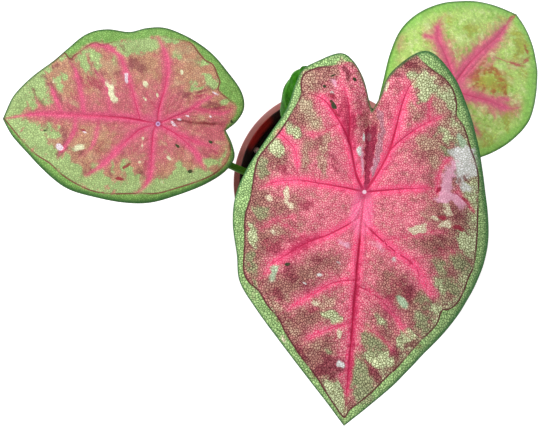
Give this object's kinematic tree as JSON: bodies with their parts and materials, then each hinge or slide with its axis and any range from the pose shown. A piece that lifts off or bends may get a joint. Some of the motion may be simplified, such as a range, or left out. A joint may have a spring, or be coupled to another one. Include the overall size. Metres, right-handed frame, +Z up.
{
  "type": "potted caladium",
  "caption": "Aroid house plant with open heart-shaped leaves and a rolled young leaf on slim stalks, growing from a tuber in a round nursery pot.",
  "frame": {"origin": "centre of the pot's flat underside", "axes": "+Z up along the pot's axis; -Y is the side that the largest leaf points to, -X the side that the long-stalked leaf leans over"},
  "size_m": [0.2689, 0.2047, 0.2356],
  "materials": {
    "leaf_rose": "satin",
    "leaf_green": "satin",
    "petiole": "satin",
    "tuber": "matte",
    "potting_mix": "matte",
    "pot": "satin"
  },
  "bodies": {
    "root": {"front_leaf_blade": "leaf_rose", "left_leaf_blade": "leaf_rose", "right_leaf_blade": "leaf_green", "furled_leaf": "leaf_green", "front_leaf_petiole": "petiole", "left_leaf_petiole": "petiole", "right_leaf_petiole": "petiole", "tuber": "tuber", "soil": "potting_mix", "pot": "pot"}
  },
  "joints": []
}
